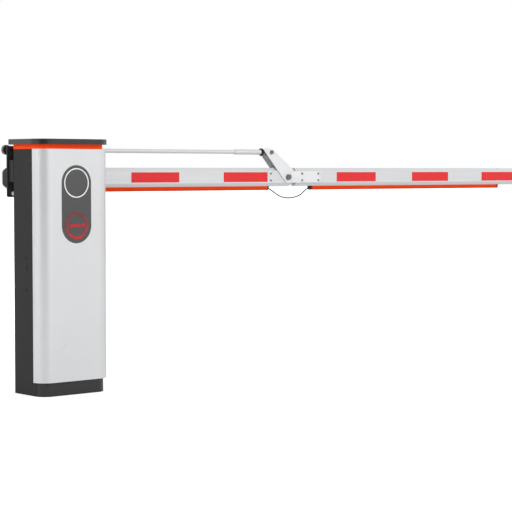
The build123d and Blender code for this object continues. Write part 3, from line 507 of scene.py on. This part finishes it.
def openTree(name, inputs):  # a tree with a named input of its kind for each entry, and what a modifier calls them
    tree = bpy.data.node_groups.new(name, "GeometryNodeTree")
    identifiers = {}
    for inputName, kind in inputs.items():
        socket = tree.interface.new_socket(inputName, in_out="INPUT", socket_type="NodeSocket" + kind)
        identifiers[inputName] = socket.identifier
    tree.interface.new_socket("result", in_out="OUTPUT", socket_type="NodeSocketGeometry")
    return tree, identifiers


def closeTree(tree, shape, finish):  # ends the tree with real geometry in its finish
    real = addNode(tree, "GeometryNodeRealizeInstances", {0: shape.outputs[0]})
    finished = addNode(tree, "GeometryNodeSetMaterial", {"Geometry": real.outputs[0], "Material": finish})
    addNode(tree, "NodeGroupOutput", {0: finished.outputs[0]})


def setOnPoints(tree, given, shape):  # puts the shape on the points, turned to their facing
    facing = addNode(tree, "GeometryNodeInputNamedAttribute", {"Name": "facing"}, data_type="FLOAT_VECTOR")
    turned = addNode(tree, "FunctionNodeAlignEulerToVector", {"Vector": facing.outputs[0]}, axis="Z")
    return addNode(tree, "GeometryNodeInstanceOnPoints", {
        "Points": given["points"], "Instance": shape.outputs[0], "Rotation": turned.outputs[0],
    })


def addPrism(tree, sides, top, bottom, tall, lift):  # a solid with two radii that stands on the height called lift
    solid = addNode(tree, "GeometryNodeMeshCone", {
        "Vertices": sides, "Radius Top": top, "Radius Bottom": bottom, "Depth": tall,
    }, fill_type="NGON")
    up = addNode(tree, "ShaderNodeCombineXYZ", {2: lift})
    return addNode(tree, "GeometryNodeTransform", {"Geometry": solid.outputs[0], "Translation": up.outputs[0]})


def makeScrewTree():
    headSides, socketSides = 24, 6
    tree, identifiers = openTree("socketScrews", {
        "points": "Geometry", "headDiameter": "Float", "headHeight": "Float", "socketWidth": "Float",
        "edgeShare": "Float", "finish": "Material",
    })
    given = addNode(tree, "NodeGroupInput").outputs
    radius, socketRadius = [
        addNode(tree, "ShaderNodeMath", {0: given[width], 1: 0.5}, operation="MULTIPLY").outputs[0]
        for width in ("headDiameter", "socketWidth")
    ]
    height = given["headHeight"]
    edge = addNode(tree, "ShaderNodeMath", {0: height, 1: given["edgeShare"]}, operation="MULTIPLY").outputs[0]
    topRadius = addNode(tree, "ShaderNodeMath", {0: radius, 1: edge}, operation="SUBTRACT").outputs[0]
    rimHeight = addNode(tree, "ShaderNodeMath", {0: height, 1: edge}, operation="SUBTRACT").outputs[0]
    rim = addPrism(tree, headSides, radius, radius, rimHeight, 0.0)
    crown = addPrism(tree, headSides, topRadius, radius, edge, rimHeight)
    socket = addPrism(tree, socketSides, socketRadius, socketRadius, height, edge)
    whole = addNode(tree, "GeometryNodeMeshBoolean", {1: rim.outputs[0]}, operation="UNION")
    tree.links.new(crown.outputs[0], whole.inputs[1])
    head = addNode(tree, "GeometryNodeMeshBoolean", {
        0: whole.outputs[0], 1: socket.outputs[0],
    }, operation="DIFFERENCE")
    closeTree(tree, setOnPoints(tree, given, head), given["finish"])
    return tree, identifiers


def makeWasherTree():
    washerSides = 32
    tree, identifiers = openTree("flatWashers", {
        "points": "Geometry", "outside": "Float", "inside": "Float", "thickness": "Float", "finish": "Material",
    })
    given = addNode(tree, "NodeGroupInput").outputs
    discs = []
    for width, tall in (("outside", 1.0), ("inside", 3.0)):  # the hole's cutter stands out at both ends
        radius = addNode(tree, "ShaderNodeMath", {0: given[width], 1: 0.5}, operation="MULTIPLY").outputs[0]
        depth, lift = [
            addNode(tree, "ShaderNodeMath", {0: given["thickness"], 1: share}, operation="MULTIPLY").outputs[0]
            for share in (tall, (1.0 - tall) / 2)
        ]
        discs.append(addPrism(tree, washerSides, radius, radius, depth, lift).outputs[0])
    washer = addNode(tree, "GeometryNodeMeshBoolean", {0: discs[0], 1: discs[1]}, operation="DIFFERENCE")
    closeTree(tree, setOnPoints(tree, given, washer), given["finish"])
    return tree, identifiers


def bakeNodes(piece, kind, sizes, finish):  # runs the tree, keeps its result as a plain mesh and drops the modifier
    tree, identifiers = kind
    modifier = piece.modifiers.new("build", "NODES")
    modifier.node_group = tree
    for name, value in sizes.items():
        modifier[identifiers[name]] = value
    modifier[identifiers["finish"]] = finish
    depsgraph = bpy.context.evaluated_depsgraph_get()
    baked = bpy.data.meshes.new_from_object(piece.evaluated_get(depsgraph))
    baked.validate()  # drops the slivers that a boolean can leave
    baked.name = piece.name
    piece.modifiers.clear()
    piece.data = baked


screws, washers = makeScrewTree(), makeWasherTree()
left, right, front, rear = (-1, 0, 0), (1, 0, 0), (0, -1, 0), (0, 1, 0)
boltWasher = {"outside": 24 * mm, "inside": 13 * mm, "thickness": 2 * mm}
fastenerSets = {
    "insertScrews": {  # hold the fold's insert in the inner tube's end, on both faces
        "kind": screws, "body": "boom_inner", "slot": "zinc_steel", "finish": greySteel,
        "sizes": {"headDiameter": 8.5 * mm, "headHeight": 2.2 * mm, "socketWidth": 3.6 * mm, "edgeShare": 0.3},
        "points": [
            ((1.237, y, z), facing) for z in (0.833, 0.863) for y, facing in ((0.148, front), (0.186, rear))
        ],
    },
    "coverScrews": {  # hold the front cover's flange on the left and right sides
        "kind": screws, "body": "cabinet", "slot": "black_steel", "finish": blackOxide,
        "sizes": {"headDiameter": 7 * mm, "headHeight": 1.8 * mm, "socketWidth": 3 * mm, "edgeShare": 0.3},
        "points": [
            ((x, 0.012, z), facing) for z in (0.536, 0.411) for x, facing in ((-0.155, left), (0.155, right))
        ],
    },
    "clampWashers": {  # under the clamp's bolt heads
        "kind": washers, "body": "boom_inner", "slot": "zinc_steel", "finish": zincPlate, "sizes": boltWasher,
        "points": [((x, 0.192, z), rear) for x in (-0.078, 0.058) for z in (0.828, 0.868)],
    },
    "bracketWashers": {  # under the bracket's lower bolt heads
        "kind": washers, "body": "cabinet", "slot": "zinc_steel", "finish": zincPlate, "sizes": boltWasher,
        "points": [((x, 0.134, 0.786), rear) for x in (-0.136, 0.052)],
    },
}
for name, fastenerSet in fastenerSets.items():
    mesh = bpy.data.meshes.new(name)
    mesh.from_pydata([place for place, facing in fastenerSet["points"]], [], [])
    facings = mesh.attributes.new("facing", "FLOAT_VECTOR", "POINT")
    facings.data.foreach_set("vector", [c for place, facing in fastenerSet["points"] for c in facing])
    piece = bpy.data.objects.new(name, mesh)
    bpy.context.collection.objects.link(piece)
    bakeNodes(piece, fastenerSet["kind"], fastenerSet["sizes"], fastenerSet["finish"])
    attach(piece, fastenerSet["body"])
    print(name, len(piece.data.polygons), "faces")

# Geometry Nodes: the stop sign's lamps, domes on two rings and in rows along the bar

signLamps = {
    "innerRadius": 45.2 * mm,
    "innerCount": 54,
    "outerRadius": 50.8 * mm,
    "outerCount": 60,
    "barLength": 70 * mm,
    "barHeight": 7 * mm,
    "barColumns": 14,
    "barRows": 2,
    "lampDiameter": 4.0 * mm,
    "lampHeight": 0.45,  # share of a full dome
    "centre": (0.0, -0.1122, 0.663),
}


def makeLampTree():
    domeSegments, domeRings = 10, 6  # few, because there are over a hundred lamps
    tree, identifiers = openTree("signLamps", {
        "innerRadius": "Float", "innerCount": "Int", "outerRadius": "Float", "outerCount": "Int",
        "barLength": "Float", "barHeight": "Float", "barColumns": "Int", "barRows": "Int",
        "lampDiameter": "Float", "lampHeight": "Float", "centre": "Vector", "finish": "Material",
    })
    given = addNode(tree, "NodeGroupInput").outputs
    spots = addNode(tree, "GeometryNodeJoinGeometry")
    for ring in ("inner", "outer"):
        circle = addNode(tree, "GeometryNodeMeshCircle", {
            "Vertices": given[ring + "Count"], "Radius": given[ring + "Radius"],
        })
        tree.links.new(circle.outputs[0], spots.inputs[0])
    bar = addNode(tree, "GeometryNodeMeshGrid", {
        "Size X": given["barLength"], "Size Y": given["barHeight"],
        "Vertices X": given["barColumns"], "Vertices Y": given["barRows"],
    })
    tree.links.new(bar.outputs[0], spots.inputs[0])
    radius = addNode(tree, "ShaderNodeMath", {0: given["lampDiameter"], 1: 0.5}, operation="MULTIPLY").outputs[0]
    ball = addNode(tree, "GeometryNodeMeshUVSphere", {
        "Segments": domeSegments, "Rings": domeRings, "Radius": radius,
    })
    flat = addNode(tree, "ShaderNodeCombineXYZ", {0: 1.0, 1: 1.0, 2: given["lampHeight"]})
    dome = addNode(tree, "GeometryNodeTransform", {"Geometry": ball.outputs[0], "Scale": flat.outputs[0]})
    smooth = addNode(tree, "GeometryNodeSetShadeSmooth", {"Geometry": dome.outputs[0]})
    placed = addNode(tree, "GeometryNodeInstanceOnPoints", {
        "Points": spots.outputs[0], "Instance": smooth.outputs[0],
    })
    upright = addNode(tree, "GeometryNodeTransform", {
        "Geometry": placed.outputs[0], "Translation": given["centre"], "Rotation": (math.radians(90), 0, 0),
    })
    closeTree(tree, upright, given["finish"])
    return tree, identifiers


signDots = bpy.data.objects.new("signLamps", bpy.data.meshes.new("signLamps"))
bpy.context.collection.objects.link(signDots)
bakeNodes(signDots, makeLampTree(), signLamps, lampLens)
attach(signDots, "cabinet")
print("sign lamps", len(signDots.data.polygons), "faces")

# Studio: pale floor, white surroundings and soft lamps

studio = {
    "floorHalf": 60.0,  # metres, as all sizes here
    "floorHex": "#BCBCBC",
    "floorGlow": (0.60, 1.0),  # what the eye sees added near the object and far from it
    "glowReach": (0.9, 3.6),
    "fill": 0.60,  # the light that the whole room gives
    "dimEnds": (0.655, 0.756, 0.0),  # the room's two unlit ends lie along this line, and only gloss picks them up
    "dimLevel": 0.05,
    "dimSpread": (0.74, 0.96),  # cosines between which a wall goes from white to unlit
    "ceilingLevel": 0.40,  # gloss picks up the darker ceiling too
    "ceilingSpread": (0.25, 0.75),
    "lamps": {  # place, aim, size in metres, watts
        "leftSoftbox": ((-7.0, -1.2, 3.6), (0.3, 0.0, 0.6), 4.0, 370),
        "frontSoftbox": ((3.6, -7.0, 4.2), (1.4, 0.0, 0.6), 5.0, 440),
        "rearSoftbox": ((1.5, 8.0, 4.0), (1.0, 0.0, 0.6), 4.0, 220),
        "topSoftbox": ((0.9, 0.4, 6.0), (0.9, 0.2, 0.0), 4.0, 35),
    },
}
white = hexToLinear("#FFFFFF")
floorMesh = bpy.data.meshes.new("studioFloor")
half = studio["floorHalf"]
corners = [(-half, -half, 0), (half, -half, 0), (half, half, 0), (-half, half, 0)]
floorMesh.from_pydata(corners, [], [(0, 1, 2, 3)])
studioFloor = bpy.data.objects.new("studioFloor", floorMesh)
bpy.context.collection.objects.link(studioFloor)
floorPaint, tree, shader = newMaterial("matFloorPaint", studio["floorHex"], roughness=0.9, Specular_IOR_Level=0.1)
place = addNode(tree, "ShaderNodeTexCoord").outputs["Object"]
distance = addNode(tree, "ShaderNodeVectorMath", {0: place}, operation="LENGTH")
(near, far), (nearGlow, farGlow) = studio["glowReach"], studio["floorGlow"]
glow = addNode(tree, "ShaderNodeMapRange", {
    0: distance.outputs["Value"], 1: near, 2: far, 3: nearGlow, 4: farGlow,
}, interpolation_type="SMOOTHSTEP")
rays = addNode(tree, "ShaderNodeLightPath").outputs
seenGlow = addNode(tree, "ShaderNodeMath", {0: glow.outputs[0], 1: rays["Is Camera Ray"]}, operation="MULTIPLY")
shader.inputs["Emission Color"].default_value = white
tree.links.new(seenGlow.outputs[0], shader.inputs["Emission Strength"])
floorMesh.materials.append(floorPaint)

world = bpy.data.worlds.new("studioWorld")
bpy.context.scene.world = world
world.use_nodes = True
tree = world.node_tree
background = tree.nodes["Background"]
background.inputs["Color"].default_value = white
heading = addNode(tree, "ShaderNodeTexCoord").outputs["Generated"]
along = addNode(tree, "ShaderNodeVectorMath", {0: heading, 1: studio["dimEnds"]}, operation="DOT_PRODUCT")
eitherEnd = addNode(tree, "ShaderNodeMath", {0: along.outputs["Value"]}, operation="ABSOLUTE")
near, far = studio["dimSpread"]
wallLevel = addNode(tree, "ShaderNodeMapRange", {
    0: eitherEnd.outputs[0], 1: near, 2: far, 3: 1.0, 4: studio["dimLevel"],
}, interpolation_type="SMOOTHSTEP")
upward = addNode(tree, "ShaderNodeSeparateXYZ", {0: heading})
near, far = studio["ceilingSpread"]
ceilingLevel = addNode(tree, "ShaderNodeMapRange", {
    0: upward.outputs[2], 1: near, 2: far, 3: 1.0, 4: studio["ceilingLevel"],
}, interpolation_type="SMOOTHSTEP")
roomLevel = addNode(tree, "ShaderNodeMath", {
    0: wallLevel.outputs[0], 1: ceilingLevel.outputs[0],
}, operation="MULTIPLY")
rays = addNode(tree, "ShaderNodeLightPath").outputs
glossOrFill = addNode(tree, "ShaderNodeMix", {
    0: rays["Is Glossy Ray"], 2: studio["fill"], 3: roomLevel.outputs[0],
}, data_type="FLOAT")
clear = addNode(tree, "ShaderNodeMath", {
    0: rays["Is Camera Ray"], 1: rays["Is Transmission Ray"],
}, operation="MAXIMUM")
level = addNode(tree, "ShaderNodeMix", {0: clear.outputs[0], 2: glossOrFill.outputs[0], 3: 1.0}, data_type="FLOAT")
tree.links.new(level.outputs[0], background.inputs["Strength"])

for lampName, (place, aim, size, watts) in studio["lamps"].items():
    lampData = bpy.data.lights.new(lampName, "AREA")
    lampData.size = size
    lampData.energy = watts
    lamp = bpy.data.objects.new(lampName, lampData)
    lamp.location = place
    lamp.rotation_euler = (Vector(aim) - Vector(place)).to_track_quat("-Z", "Y").to_euler()
    lamp.visible_glossy = False  # so that paint mirrors the plain room instead of the lamps' edges
    bpy.context.collection.objects.link(lamp)
bpy.context.scene.view_settings.view_transform = "Standard"
print("studio lit")
